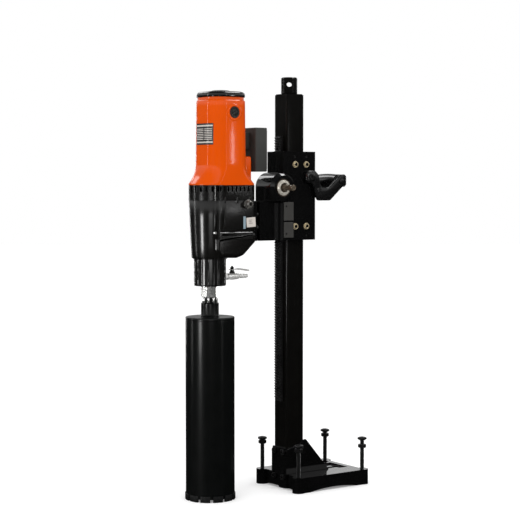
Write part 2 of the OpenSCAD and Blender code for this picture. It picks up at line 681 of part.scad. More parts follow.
// Quarter-turn ball valve with a hose barb.
module water_valve_body() {
  color("#b7b8b6") difference() {
    translate([0, 0, valve_z]) union() {
      xcyl([SX + 21, 0, 0], 6, 18);
      translate([SX + 37, 0, 0]) rotate([0, 90, 0]) hex(15, 9);
      xcyl([SX + 46, 0, 0], 6.5, 30);
      translate([-163, 0, 0]) sphere(r = 9, $fn = 64);
      translate([-152, 0, 0]) rotate([0, 90, 0]) hex(14, 6);
      translate([-163, 0, 0]) cylinder(r = 5, h = 13.5);
      xcyl([-146, 0, 0], 4.6, 25);
      for (x = [-142:5:-126]) translate([x, 0, 0]) rotate([0, 90, 0]) cylinder(r1 = 5.6, r2 = 4.6, h = 3.6, $fn = 48);
    }
    xcyl([SX + 15, 0, valve_z], 3.2, 110);
    translate([-163, 0, valve_z]) sphere(r = 6.6, $fn = 64);
    translate([-163, 0, valve_z]) cylinder(r = 2.55, h = 20);
  }
}
module water_valve_lever() {
  color("#c4c5c3") translate([-163, 0, valve_z]) {
    difference() {
      union() {
        sphere(r = 6.2, $fn = 64);
        cylinder(r = 2.5, h = 24);
        translate([0, 0, 17.2]) hex(7, 4);
      }
      xcyl([-10, 0, 0], 3.2, 20);
    }
    difference() {
      translate([0, 0, 14]) linear_extrude(3.2) {
        circle(6.2);
        translate([0, -4]) square([42, 8]);
        translate([42, 0]) circle(4);
      }
      translate([0, 0, 10]) cylinder(r = 2.5, h = 10);
    }
  }
}

// ---------- core bit ----------
module bit_coupling() {
  color("#d4d5d7") translate([SX, 0, 0]) difference() {
    union() {
      translate([0, 0, 462]) rotate([0, 0, 8]) hex(36.5, 26);
      translate([0, 0, 450]) cylinder(r = 16.5, h = 12);
      translate([0, 0, 430]) cylinder(r = 10, h = 21);
    }
    translate([0, 0, 472]) cylinder(r = 14, h = 17);
    translate([0, 0, 429]) cylinder(r = 5, h = 60);
  }
}
module core_bit_tube() {
  color("#19191a") translate([SX, 0, 0]) difference() {
    union() {
      translate([0, 0, 14]) cylinder(r = bit_r, h = 404, $fn = 128);
      translate([0, 0, 417]) cylinder(r = 20.5, h = 33);
    }
    translate([0, 0, 13]) cylinder(r = bit_r - bit_t, h = 398, $fn = 128);
    translate([0, 0, 430]) cylinder(r = 10, h = 30);
    translate([0, 0, 400]) cylinder(r = 5, h = 40);
  }
}
module crown_segments() {
  w = 6.8/bit_r*180/PI;
  color("#222223") translate([SX, 0, 0]) difference() {
    ring(bit_r + 1.8, bit_r - bit_t - 1, 14, $fn = 128);
    for (k = [0:seg_n - 1]) rotate([0, 0, k*360/seg_n]) bx([bit_r - 8, -3.4, -1], [bit_r + 8, 3.4, 15]);
  }
}

// Blank rating plate on the motor and blank labels on the case.
module nameplates() {
  color("#c9cacb") {
    intersection() {
      translate([AX, 0, 808]) linear_extrude(48) difference() { rsq(mot_w + 1.2, mot_w + 1.2, 35.6); rsq(mot_w, mot_w, 35); }
      bx([-250, -36, 808], [-215, 27, 856]);
    }
    translate([-141, -44.5, 632.6]) rotate([90, 4, 0]) translate([-12.5, -11, 0]) cube([25, 22, 0.6]);
    translate([-159, -44.5, 632]) rotate([90, 0, 0]) translate([-3.2, -14, 0]) cube([6.4, 28, 0.6]);
  }
}

base_plate();
column_shoe();
shoe_bolts();
column_tube();
gear_rack();
rack_screws();
column_top_nut();
jack_screw();
level_screw_1();
level_screw_2();
level_screw_3();
level_screw_4();
lock_nut_1();
lock_nut_2();
lock_nut_3();
lock_nut_4();
carriage_housing();
guide_pads();
gib_plates();
carriage_bolts();
pinion_bushes();
feed_pinion_shaft();
handle_frame();
handle_grip();
handle_bolts();
motor_bracket();
bracket_bolts();
switch_box();
switch_rocker();
control_board();
cable_gland();
motor_housing();
end_cap();
brush_caps();
brush_holders();
carbon_brushes();
stator_core();
field_coils();
armature_shaft();
armature_core();
commutator();
cooling_fan();
motor_bearings();
vent_ring();
gear_case();
case_screws();
intermediate_gear();
intermediate_shaft();
intermediate_bearings();
output_gear();
spindle_shaft();
spindle_bearings();
spindle_collar();
water_seals();
water_valve_body();
water_valve_lever();
bit_coupling();
core_bit_tube();
crown_segments();
nameplates();
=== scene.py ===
import bpy, bmesh, json, math
from mathutils import Vector, Matrix


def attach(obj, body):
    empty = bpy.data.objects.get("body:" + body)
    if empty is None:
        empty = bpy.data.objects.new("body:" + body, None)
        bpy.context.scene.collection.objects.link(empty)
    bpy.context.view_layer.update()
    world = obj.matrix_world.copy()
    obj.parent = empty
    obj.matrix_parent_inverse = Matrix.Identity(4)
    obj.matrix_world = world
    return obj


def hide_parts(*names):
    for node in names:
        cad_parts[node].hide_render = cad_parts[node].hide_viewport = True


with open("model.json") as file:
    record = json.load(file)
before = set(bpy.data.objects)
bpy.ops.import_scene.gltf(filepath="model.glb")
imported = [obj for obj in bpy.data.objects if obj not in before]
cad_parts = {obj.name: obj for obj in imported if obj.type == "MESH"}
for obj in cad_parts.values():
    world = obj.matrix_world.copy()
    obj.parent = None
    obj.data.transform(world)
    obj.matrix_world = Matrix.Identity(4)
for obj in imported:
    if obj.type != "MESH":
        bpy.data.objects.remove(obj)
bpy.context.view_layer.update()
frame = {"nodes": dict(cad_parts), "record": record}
N = frame["nodes"]
S = bpy.context.scene
MM = 0.001
pi = math.pi

# ------------------------------------------------------------------ geometry facts (mm, same frame as the CAD)
SX, AX, PX, PZ = -224.0, -194.0, -52.0, 711.0
LX, LY = (-25.5, 165.2), (-72.6, 72.6)

# ------------------------------------------------------------------ materials
MATS = {}

def mat(name, col, rough=0.4, metal=0.0, coat=0.0, coat_rough=0.06, ior=1.5, var=0.12, nscale=9.0,
        rvar=0.1, rscale=35.0, bump=0.15, bscale=900.0, bdist=0.00015, grain=None, scratch=0.0,
        scratch_col=(0.35, 0.35, 0.36), dust=0.0, dust_col=(0.30, 0.29, 0.27), spec=0.5, sheen=0.0, brush=None):
    m = bpy.data.materials.new(name); m.use_nodes = True
    nt = m.node_tree; nt.nodes.clear()
    out = nt.nodes.new("ShaderNodeOutputMaterial")
    b = nt.nodes.new("ShaderNodeBsdfPrincipled")
    nt.links.new(b.outputs[0], out.inputs[0])
    b.inputs["Metallic"].default_value = metal
    b.inputs["IOR"].default_value = ior
    b.inputs["Coat Weight"].default_value = coat
    b.inputs["Coat Roughness"].default_value = coat_rough
    b.inputs["Specular IOR Level"].default_value = spec
    if sheen: b.inputs["Sheen Weight"].default_value = sheen
    tc = nt.nodes.new("ShaderNodeTexCoord")
    def noise(scale, detail=4.0, rgh=0.55, vec=None):
        n = nt.nodes.new("ShaderNodeTexNoise")
        n.inputs["Scale"].default_value = scale
        n.inputs["Detail"].default_value = detail
        n.inputs["Roughness"].default_value = rgh
        nt.links.new(vec if vec is not None else tc.outputs["Object"], n.inputs["Vector"])
        return n
    def mapping(sc):
        mp = nt.nodes.new("ShaderNodeMapping"); mp.inputs["Scale"].default_value = sc
        nt.links.new(tc.outputs["Object"], mp.inputs["Vector"]); return mp.outputs[0]
    def mrange(src, a, b_, lo=0.3, hi=0.7):
        r = nt.nodes.new("ShaderNodeMapRange")
        r.inputs["From Min"].default_value = lo; r.inputs["From Max"].default_value = hi
        r.inputs["To Min"].default_value = a; r.inputs["To Max"].default_value = b_
        nt.links.new(src, r.inputs["Value"]); return r.outputs["Result"]
    def mix(fac, a, b_):
        x = nt.nodes.new("ShaderNodeMix"); x.data_type = "RGBA"
        for src, idx in ((fac, 0), (a, 6), (b_, 7)):
            if hasattr(src, "is_output"): nt.links.new(src, x.inputs[idx])
            elif idx == 0: x.inputs[0].default_value = src
            else: x.inputs[idx].default_value = (*src, 1)
        return x.outputs[2]
    dark = tuple(c*(1 - var) for c in col); light = tuple(min(1, c*(1 + var)) for c in col)
    c = mix(mrange(noise(nscale).outputs["Fac"], 0, 1), dark, light)
    if brush:  # fine lines along one axis, such as turned or ground metal
        v = mapping(brush)
        c = mix(mrange(noise(60, 3, 0.6, v).outputs["Fac"], 0, 0.35), c, tuple(x*0.55 for x in col))
    if dust:
        c = mix(mrange(noise(28, 6, 0.62).outputs["Fac"], 0, dust, 0.52, 0.74), c, dust_col)
    if scratch:
        v = mapping((1.0, 1.0, 0.09))
        s1 = mrange(noise(240, 2, 0.5, v).outputs["Fac"], 0, scratch, 0.67, 0.74)
        c = mix(s1, c, scratch_col)
    nt.links.new(c, b.inputs["Base Color"])
    rr = noise(rscale, 5, 0.6)
    nt.links.new(mrange(rr.outputs["Fac"], max(0.02, rough - rvar), min(1, rough + rvar)), b.inputs["Roughness"])
    if bump:
        bn = noise(bscale, 3, 0.6) if not brush else noise(90, 4, 0.7, mapping(brush))
        bp = nt.nodes.new("ShaderNodeBump")
        bp.inputs["Strength"].default_value = bump; bp.inputs["Distance"].default_value = bdist
        nt.links.new(bn.outputs["Fac"], bp.inputs["Height"])
        last = bp
        if grain:  # second, coarser relief such as cast skin
            g = noise(grain[0], 3, 0.5)
            b2 = nt.nodes.new("ShaderNodeBump"); b2.inputs["Strength"].default_value = grain[1]
            b2.inputs["Distance"].default_value = grain[2]
            nt.links.new(g.outputs["Fac"], b2.inputs["Height"])
            nt.links.new(bp.outputs[0], b2.inputs["Normal"]); last = b2
        nt.links.new(last.outputs[0], b.inputs["Normal"])
    MATS[name] = m
    return m

mat("cast_black", (0.0011, 0.0011, 0.0012), 0.45, 0, 0.80, 0.07, var=0.25, bump=0.14, bscale=700, bdist=0.0002, grain=(150, 0.10, 0.0004), dust=0.02, dust_col=(0.040, 0.040, 0.038), spec=0.03)
mat("column_black", (0.0018, 0.0016, 0.0013), 0.40, 0, 0.26, 0.09, var=0.2, bump=0.14, bscale=1200, bdist=0.0001, scratch=0.08, scratch_col=(0.03, 0.03, 0.03), dust=0.015, dust_col=(0.04, 0.04, 0.037), spec=0.04)
mat("rack_steel", (0.0055, 0.0055, 0.0055), 0.35, 0.1, 0.35, 0.15, var=0.3, bump=0.2, dust=0.05, dust_col=(0.08, 0.08, 0.075), spec=0.2)
mat("black_bolts", (0.0045, 0.0045, 0.0045), 0.35, 0.05, 0.35, 0.14, var=0.25, bump=0.15, bscale=1500, scratch=0.12, scratch_col=(0.08, 0.08, 0.08), spec=0.15)
mat("slide_nylon", (0.72, 0.69, 0.60), 0.5, var=0.06)
mat("grey_steel", (0.034, 0.0325, 0.030), 0.42, 0.15, var=0.25, brush=(3, 3, 60), bump=0.2, dust=0.08, dust_col=(0.10, 0.095, 0.085), spec=0.3)
mat("yellow_zinc", (0.52, 0.43, 0.27), 0.26, 0.6, var=0.35, bump=0.15, nscale=160)
mat("turned_steel", (0.105, 0.082, 0.058), 0.26, 0.55, 0.2, 0.15, var=0.35, brush=(4, 90, 4), bump=0.12, spec=0.3)
mat("gloss_black", (0.0030, 0.0030, 0.0031), 0.30, 0, 0.75, 0.05, var=0.15, bump=0.05, bscale=300, bdist=0.0002, spec=0.08)
mat("box_grey", (0.0300, 0.0310, 0.0285), 0.50, 0, 0, var=0.12, bump=0.45, bscale=1500, bdist=0.0003, spec=0.3)
mat("switch_red", (0.45, 0.02, 0.015), 0.25, 0, 0.5, var=0.05)
mat("board_green", (0.04, 0.17, 0.07), 0.4, var=0.1)
mat("nickel", (0.93, 0.92, 0.88), 0.24, 0.62, var=0.15, nscale=120, bump=0.08, bscale=500, dust=0.2, dust_col=(0.20, 0.19, 0.16))
mat("orange_shell", (0.585, 0.064, 0.0001), 0.35, 0, 0.42, 0.09, var=0.03, rvar=0.05, bump=0.03, bscale=160, bdist=0.0003, spec=0.02)
mat("cap_black", (0.0075, 0.0080, 0.0065), 0.42, 0, 0.5, 0.22, var=0.15, bump=0.2, bscale=1500, spec=0.1)
mat("brass_parts", (0.62, 0.45, 0.18), 0.28, 1.0)
mat("carbon", (0.02, 0.02, 0.02), 0.5)
mat("core_steel", (0.42, 0.43, 0.45), 0.38, 0.9, brush=(2, 2, 160))
mat("copper_winding", (0.42, 0.15, 0.06), 0.3, 0.6, brush=(2, 2, 120), bump=0.4)
mat("bright_steel", (0.58, 0.59, 0.6), 0.2, 1.0, brush=(2, 2, 70), bump=0.1)
mat("fan_plastic", (0.03, 0.03, 0.032), 0.45)
mat("case_black", (0.0028, 0.0026, 0.0022), 0.38, 0, 0.72, 0.19, var=0.15, bump=0.06, bscale=600, bdist=0.0002, grain=(90, 0.06, 0.0005), spec=0.05)
mat("zinc_screw", (0.40, 0.40, 0.39), 0.3, 1.0, bump=0.1)
mat("seal_rubber", (0.05, 0.02, 0.015), 0.6)
mat("chrome_nut", (0.72, 0.72, 0.70), 0.20, 0.90, var=0.15, nscale=120, bump=0.08, dust=0.4, dust_col=(0.05, 0.048, 0.04), spec=0.4)
mat("bit_black", (0.0014, 0.0018, 0.0017), 0.42, 0, 0.26, 0.20, var=0.2, bump=0.10, bscale=900, bdist=0.0001, scratch=0.08, scratch_col=(0.012, 0.012, 0.012), dust=0.01, dust_col=(0.03, 0.03, 0.028), spec=0.05)
mat("crown_steel", (0.0055, 0.0058, 0.0058), 0.45, 0.1, var=0.4, nscale=220, bump=0.6, bscale=900, bdist=0.0006, spec=0.15)
mat("label_white", (0.50, 0.46, 0.42), 0.35, 0, 0.3, var=0.04, bump=0.03)
mat("label_dark", (0.012, 0.012, 0.012), 0.35, 0, 0.3, bump=0.03)

mat("ring_steel", (0.52, 0.49, 0.43), 0.30, 0.45, var=0.25, brush=(4, 60, 4), bump=0.1)
mat("bush_bronze", (0.045, 0.030, 0.018), 0.35, 0.5, var=0.3, brush=(4, 60, 4), bump=0.1)
mat("collar_black", (0.0028, 0.0027, 0.0025), 0.38, 0, 0.95, 0.12, var=0.15, bump=0.05, bscale=600, bdist=0.0002, spec=0.08)
mat("gland_metal", (0.13, 0.125, 0.115), 0.25, 0.6, var=0.2, nscale=90, bump=0.08)
# painted shade: near-black material for dark discs set into screw sockets, where only shade falls
mat("socket_painted_shade", (0.0025, 0.0023, 0.002), 0.6, var=0.2, bump=0.1, spec=0.1)
slot_of = {s["node"]: s["material_slot"] for s in frame["record"]["subparts"]}
for n, o in N.items():
    o.data.materials.clear()
    o.data.materials.append(MATS["ring_steel" if n == "pinion_bushes" else slot_of[n]])

# ------------------------------------------------------------------ mesh helpers (coordinates in mm)
def fillet(pts, seg=5, closed=True):
    """Rounds polygon corners given as (x, y, r)."""
    out = []; n = len(pts)
    for i, p in enumerate(pts):
        r = p[2] if len(p) > 2 else 0
        if r <= 0 or (not closed and i in (0, n - 1)):
            out.append((p[0], p[1])); continue
        a = Vector((pts[i - 1][0], pts[i - 1][1])); b = Vector((p[0], p[1])); c = Vector((pts[(i + 1) % n][0], pts[(i + 1) % n][1]))
        u = (a - b).normalized(); v = (c - b).normalized()
        ang = math.acos(max(-1, min(1, u.dot(v))))
        if ang < 0.02 or ang > pi - 0.02: out.append((p[0], p[1])); continue
        t = min(r/math.tan(ang/2), (a - b).length*0.49, (c - b).length*0.49); rr = t*math.tan(ang/2)
        ctr = b + (u + v).normalized()*(rr/math.sin(ang/2))
        s = b + u*t - ctr; e = b + v*t - ctr
        a0 = math.atan2(s.y, s.x); a1 = math.atan2(e.y, e.x); d = (a1 - a0 + pi) % (2*pi) - pi
        for k in range(seg + 1):
            q = a0 + d*k/seg; out.append((ctr.x + rr*math.cos(q), ctr.y + rr*math.sin(q)))
    return out

def place(ax, u, v, h, o):
    if ax == "Z": return (o[0] + u, o[1] + v, o[2] + h)
    if ax == "Y": return (o[0] + u, o[1] + h, o[2] + v)
    return (o[0] + h, o[1] + u, o[2] + v)

def lathe(bm, prof, o=(0, 0, 0), ax="Z", n=72, closed=False, rf=None, a0=0.0):
    """Turned form: prof is (r, h) points; rf(angle, h, r) may change the radius."""
    rings = []
    for r, h in prof:
        if r < 1e-6: rings.append([bm.verts.new(place(ax, 0, 0, h, o))]); continue
        ring = []
        for k in range(n):
            q = a0 + 2*pi*k/n; rr = rf(q, h, r) if rf else r
            ring.append(bm.verts.new(place(ax, rr*math.cos(q), rr*math.sin(q), h, o)))
        rings.append(ring)
    seq = list(zip(rings, rings[1:])) + ([(rings[-1], rings[0])] if closed else [])
    for a, b in seq:
        if len(a) == 1 and len(b) == 1: continue
        for k in range(n):
            k2 = (k + 1) % n
            if len(a) == 1: bm.faces.new((a[0], b[k2], b[k]))
            elif len(b) == 1: bm.faces.new((a[k], a[k2], b[0]))
            else: bm.faces.new((a[k], a[k2], b[k2], b[k]))
    return rings

def loft(bm, rings, cap0=True, cap1=True):
    vs = [[bm.verts.new(p) for p in r] for r in rings]; n = len(vs[0])
    for a, b in zip(vs, vs[1:]):
        for k in range(n): bm.faces.new((a[k], a[(k + 1) % n], b[(k + 1) % n], b[k]))
    if cap0: bm.faces.new(vs[0][::-1])
    if cap1: bm.faces.new(vs[-1])
    return vs

def offset(pts, d):
    """Polygon moved inwards by d (pts counter-clockwise)."""
    n = len(pts); out = []
    for i in range(n):
        a, b, c = Vector(pts[i - 1]), Vector(pts[i]), Vector(pts[(i + 1) % n])
        e1 = b - a; e2 = c - b
        if e1.length < 1e-6: e1 = e2
        if e2.length < 1e-6: e2 = e1
        n1 = Vector((-e1.y, e1.x)).normalized(); n2 = Vector((-e2.y, e2.x)).normalized()
        m = n1 + n2; m = m.normalized() if m.length > 1e-6 else n1
        out.append(tuple(b + m*(d/max(0.35, m.dot(n1)))))
    return out

def area2(pts): return sum(pts[i - 1][0]*pts[i][1] - pts[i][0]*pts[i - 1][1] for i in range(len(pts)))/2

def prism(bm, pts, h0, h1, ax="Z", r=1.0, seg=3, o=(0, 0, 0), r0=None):
    """Extruded polygon with rounded rims. ax Z: pts are (x, y); Y: (x, z); X: (y, z)."""
    if area2(pts) < 0: pts = pts[::-1]
    r0 = r if r0 is None else r0
    rings = []
    for k in range(seg + 1):
        q = pi/2*k/seg
        rings.append((r0*(1 - math.sin(q)), h0 + r0*(1 - math.cos(q))))
    for k in range(seg, -1, -1):
        q = pi/2*k/seg
        rings.append((r*(1 - math.sin(q)), h1 - r*(1 - math.cos(q))))
    loft(bm, [[place(ax, p[0], p[1], h, o) for p in offset(pts, d)] for d, h in rings])

def rrect(x0, x1, y0, y1, r, seg=6): return fillet([(x0, y0, r), (x1, y0, r), (x1, y1, r), (x0, y1, r)], seg)

def hexr(af, q, a0=0.0):
    q = (q - a0) % (pi/3) - pi/6
    return af/2/math.cos(q)

def hexnut(bm, af, h0, h1, o=(0, 0, 0), ax="Z", bore=0, ch=None, a0=0.0, n=72):
    """Hexagon with both ends chamfered by a cone, open bore if given."""
    ch = af*0.07 if ch is None else ch
    rc = af/2*0.97
    prof = [(rc, h0), (af/2/math.cos(pi/6), h0 + ch*1.6), (af/2/math.cos(pi/6), h1 - ch*1.6), (rc, h1)]
    rim = af/2/math.cos(pi/6)
    def rf(q, h, r):
        if abs(r - rim) < 1e-6: return hexr(af, q, a0)
        return min(r, hexr(af, q, a0))
    mids = []
    for (ra, ha), (rb, hb) in zip(prof, prof[1:]):
        for k in range(4):
            t = k/4; mids.append((ra + (rb - ra)*t, ha + (hb - ha)*t))
    mids.append(prof[-1])
    pr = ([(bore, h0)] if bore else [(0, h0)]) + mids + ([(bore, h1)] if bore else [(0, h1)])
    def rf2(q, h, r):
        return r if r <= bore + 1e-6 else min(r, hexr(af, q, a0))
    lathe(bm, pr, o, ax, n, closed=bool(bore), rf=rf2, a0=a0)

def thread(bm, r, pitch, z0, z1, depth, o=(0, 0, 0), ax="Z", n=28, lead=True):
    """Screw thread surface with closed ends that run out in a chamfer."""
    m = max(4, int((z1 - z0)/pitch*5)); rings = []
    for i in range(m + 1):
        z = z0 + (z1 - z0)*i/m; ring = []
        end = min(1, (z - z0)/pitch, (z1 - z)/pitch) if lead else 1
        for k in range(n):
            q = 2*pi*k/n; t = (z/pitch - k/n) % 1.0
            d = depth*(1 - abs(2*t - 1)*1.35) if abs(2*t - 1) < 0.74 else 0.0
            rr = (r - max(0, d)) - (1 - max(0, end))*depth*0.9
            ring.append(place(ax, rr*math.cos(q), rr*math.sin(q), z, o))
        rings.append(ring)
    loft(bm, rings)

def socket_head(bm, o, ax, r, h, sgn, af, knurl=True):
    """Cap screw head with a hexagon socket; sgn is the way it faces."""
    def rf(q, hh, rr):
        if knurl and abs(rr - r) < 1e-6: return rr - 0.16*(1 + math.cos(q*30))/2
        if rr < r*0.62 and rr > 0.01: return hexr(af, q)*(rr/(af/2/math.cos(pi/6)))
        return rr
    c = af/2/math.cos(pi/6)
    prof = [(0, 0), (r*0.96, 0), (r, h*0.06), (r, h*0.84), (r*0.97, h*0.93), (r*0.9, h), (c*1.08, h), (c, h*0.93), (c, h*0.35), (0, h*0.35)]
    lathe(bm, [(a, b*sgn) for a, b in prof], o, ax, 60, rf=rf)

def make(name, bm, body, m, replaces=(), smooth=35, bevel=None, subsurf=0):
    for v in bm.verts: v.co *= MM
    bmesh.ops.remove_doubles(bm, verts=bm.verts, dist=1e-7)
    bmesh.ops.recalc_face_normals(bm, faces=bm.faces)
    me = bpy.data.meshes.new(name); bm.to_mesh(me); bm.free()
    me.shade_smooth()
    if smooth and not bevel: me.set_sharp_from_angle(angle=math.radians(smooth))
    o = bpy.data.objects.new(name, me); S.collection.objects.link(o)
    me.materials.append(MATS[m])
    if bevel:
        b = o.modifiers.new("edge", "BEVEL"); b.width = bevel*MM; b.segments = 3; b.limit_method = "ANGLE"
        b.angle_limit = math.radians(32); b.harden_normals = True
    if subsurf:
        s = o.modifiers.new("sub", "SUBSURF"); s.levels = subsurf; s.render_levels = subsurf
    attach(o, body)
    if replaces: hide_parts(*replaces)
    return o

def new(): return bmesh.new()

# ------------------------------------------------------------------ motor housing: one lofted shell
def support(t, d, n=128, w=100.0):
    h = w/2 - 35
    L = lambda a, b: a + (b - a)*t
    cs = []
    for s in (-1, 1):
        cs.append((L(AX - h, SX), s*L(h, 0.01), L(35, 48) - d))
        cs.append((L(AX + h, -141), s*L(h, 31), L(35, 15) - d))
    out = []
    for k in range(n):
        q = 2*pi*(k + 0.5)/n; c, s = math.cos(q), math.sin(q)
        b = max(cs, key=lambda e: e[0]*c + e[1]*s + e[2])
        out.append((b[0] + b[2]*c, b[1] + b[2]*s))
    return out
bm = new(); rings = []
levels = [(717.0, 1.0, 3.2), (717.0, 1.0, 0.9), (717.4, 1.0, 0.35), (718.2, 1.0, 0.0), (720.5, 1.0, 0.0)]
for z, t, d in levels: rings.append([(x, y, z) for x, y in support(t, d)])
for k in range(1, 25):
    z = 720.5 + 44.5*k/24; t = (1 - k/24)**1.9
    rings.append([(x, y, z) for x, y in support(t, 0.0, w=100 + 1.6*min(1, k/24))])
for z, d, w_ in ((800, 0, 101), (850, 0, 100.2), (895, 0, 99.6), (906.2, 0, 99.4), (906.9, 0.15, 99.4), (907.4, 0.5, 99.4), (909.6, 2.3, 99.4), (910.3, 2.6, 99.4), (914.6, 2.6, 99.4), (915.6, 2.8, 99.4), (916.0, 3.4, 99.4), (916.0, 12, 99.4)):
    rings.append([(x, y, z) for x, y in support(0, d, w=w_)])
loft(bm, rings)
# rear tower that carries the shell's fixing screws
prism(bm, rrect(-152, -123, -24, 24, 7), 716.9, 783, "Z", r=5, seg=4, r0=0.2)
make("motor_shell", bm, "carriage", "orange_shell", ["motor_housing"], smooth=40)
bm = new()
for s in (-1, 1):  # raised rings round the brush caps
    prof = [(13.6, 44), (13.6, 51.3), (14.2, 52.0), (16.6, 52.2), (17.8, 51.8), (18.6, 50.8), (19.6, 49.7), (22.5, 48.6), (23, 44)]
    lathe(bm, [(r, h*s) for r, h in prof], (-190, 0, 881), "Y", 80, closed=True)
make("brush_bosses", bm, "carriage", "orange_shell", smooth=50)
bm = new()
for s in (-1, 1):  # slotted brush caps
    prof = [(0, 47), (13.2, 47), (13.3, 50.6), (12.6, 51.5), (9.4, 51.6), (8.8, 50.9), (8.6, 50.6), (0, 50.6)]
    lathe(bm, [(r, h*s) for r, h in prof], (-190, 0, 881), "Y", 64)
    q = pi/4
    for a in (0,):
        L_, W_ = 8.0, 1.5
        pts = []
        for du, dv in ((-L_, -W_), (L_, -W_), (L_, W_), (-L_, W_)):
            pts.append((-190 + du*math.cos(q) - dv*math.sin(q), 881 + du*math.sin(q) + dv*math.cos(q)))
        # two raised lands leave a slot between them
    for sg in (-1, 1):
        pts = []
        for k in range(13):
            a = math.radians(20 + 140*k/12)
            u, v = 8.2*math.cos(a), 8.2*math.sin(a)*sg
            v = v if abs(v) > 1.6 else 1.6*sg
            pts.append((-190 + u*math.cos(q) - v*math.sin(q), 881 + u*math.sin(q) + v*math.cos(q)))
        pts += [(-190 + (-7.4)*math.cos(q) - 1.6*sg*math.sin(q), 881 + (-7.4)*math.sin(q) + 1.6*sg*math.cos(q)),
                (-190 + 7.4*math.cos(q) - 1.6*sg*math.sin(q), 881 + 7.4*math.sin(q) + 1.6*sg*math.cos(q))]
        prism(bm, pts, min(50.4*s, 51.5*s), max(50.4*s, 51.5*s), "Y", r=0.25, seg=2)
make("brush_cap_faces", bm, "carriage", "cap_black", ["brush_caps"], smooth=35)

# end cap: crowned moulding with a finned vent disc
bm = new(); rings = []
for z, d in ((916.05, 1.4), (916.05, 0.5), (916.5, 0.15), (917.3, 0.0), (922.0, 0.0), (924.6, 0.7), (926.6, 2.4), (928.0, 5.2), (928.8, 9.5), (929.3, 16), (929.6, 26)):
    rings.append([(x, y, z) for x, y in support(0, d, w=99.2)])
loft(bm, rings)
lathe(bm, fillet([(0, 929.0), (20.5, 929.0), (20.5, 931.4, 0.8), (18.2, 932.0, 0.4), (17.4, 931.0, 0.3), (0, 931.0)], 3, False), (AX, 0, 0), "Z", 72)
for k in range(-4, 5):
    y = k*3.6; l = math.sqrt(16.4**2 - y*y)
    prism(bm, rrect(AX - l, AX + l, y - 0.8, y + 0.8, 0.6, 3), 930.6, 931.8, "Z", r=0.35, seg=2)
for sx in (-1, 1):
    for sy in (-1, 1):
        lathe(bm, fillet([(0, 925.0), (4.3, 925.0), (4.3, 929.6, 0.7), (0, 929.6)], 3, False), (AX + sx*31, sy*31, -1.6), "Z", 24)
make("motor_end_cap", bm, "carriage", "gloss_black", ["end_cap"], smooth=40)

# ------------------------------------------------------------------ gear case
bm = new()
lathe(bm, [(30, 552.2), (38.0, 551.0), (40.2, 551.3), (41.4, 552.4), (41.9, 554.5), (43.2, 580), (44.6, 610), (46.2, 645), (47.6, 682.0), (47.2, 682.9), (30, 682.9)], (SX, 0, 0), "Z", 128, closed=True)
prism(bm, rrect(-240.5, -126, -44.6, 44.6, 12, 8), 604, 682.9, "Z", r=1.0, seg=3, r0=6)
bel = fillet([(-231, 613.5, 6), (-231, 602, 3), (-238, 597, 4), (-238, 568, 14), (-226, 553, 12), (-178, 551.6, 20), (-160, 557, 30), (-126.4, 588, 8), (-126.4, 606, 5), (-133, 613.5, 6)], 7)
prism(bm, bel, -48.2, 48.2, "Y", r=10.5, seg=8)
# flange line between the lobe and the flat side, and pads for the screws
for s in (-1, 1):
    prism(bm, rrect(-241.5, -235.5, min(40*s, 46.6*s), max(40*s, 46.6*s), 2.6, 4), 612.4, 682.9, "Z", r=0.8, seg=2)
    prism(bm, rrect(-214, -209.5, min(42*s, 45.6*s), max(42*s, 45.6*s), 1.6, 3), 618, 682.9, "Z", r=0.8, seg=2)
# rim above the spindle collar
lathe(bm, fillet([(30, 549.6), (38.6, 549.6, 0.8), (38.6, 553, 0.5), (30, 553)], 3), (SX, 0, 0), "Z", 96, closed=True)
make("gear_case_shell", bm, "carriage", "case_black", ["gear_case"], smooth=38)
# oil plug on the sloping underside
bm = new()
hexnut(bm, 11, 0, 3.5, ax="Z"); lathe(bm, [(0, -3), (7, -3), (7, -0.2), (6.4, 0.2), (0, 0.2)], n=40)
for v in bm.verts: v.co = Matrix.Rotation(math.radians(180 - 42), 3, "Y") @ v.co + Vector((-147.5, -27, 568.0))
make("oil_plug", bm, "carriage", "zinc_screw", smooth=30)

# ------------------------------------------------------------------ spindle collar with rounded ribs
bm = new()
def ribs(q, h, r):
    if r < 36: return r
    t = (q*18/(2*pi)) % 1.0
    e = min(1, max(0, (h - 491)/2.5)); f = min(1, max(0, (550.5 - h)/2.0))
    return r - 0.9*(1 - min(1, abs(2*t - 1)*5.5)**2)*min(e, f)
lathe(bm, [(20, 488.6), (34.6, 488.6), (35.9, 489.1), (36.6, 490.4), (36.7, 491), (36.7, 492.2), (36.7, 493.5), (36.7, 520), (36.7, 548.4), (36.7, 549.6), (36.7, 550.9), (20, 550.9)], (SX, 0, 0), "Z", 264, closed=True, rf=ribs)
make("collar_ribbed", bm, "carriage", "collar_black", ["spindle_collar"], smooth=40)

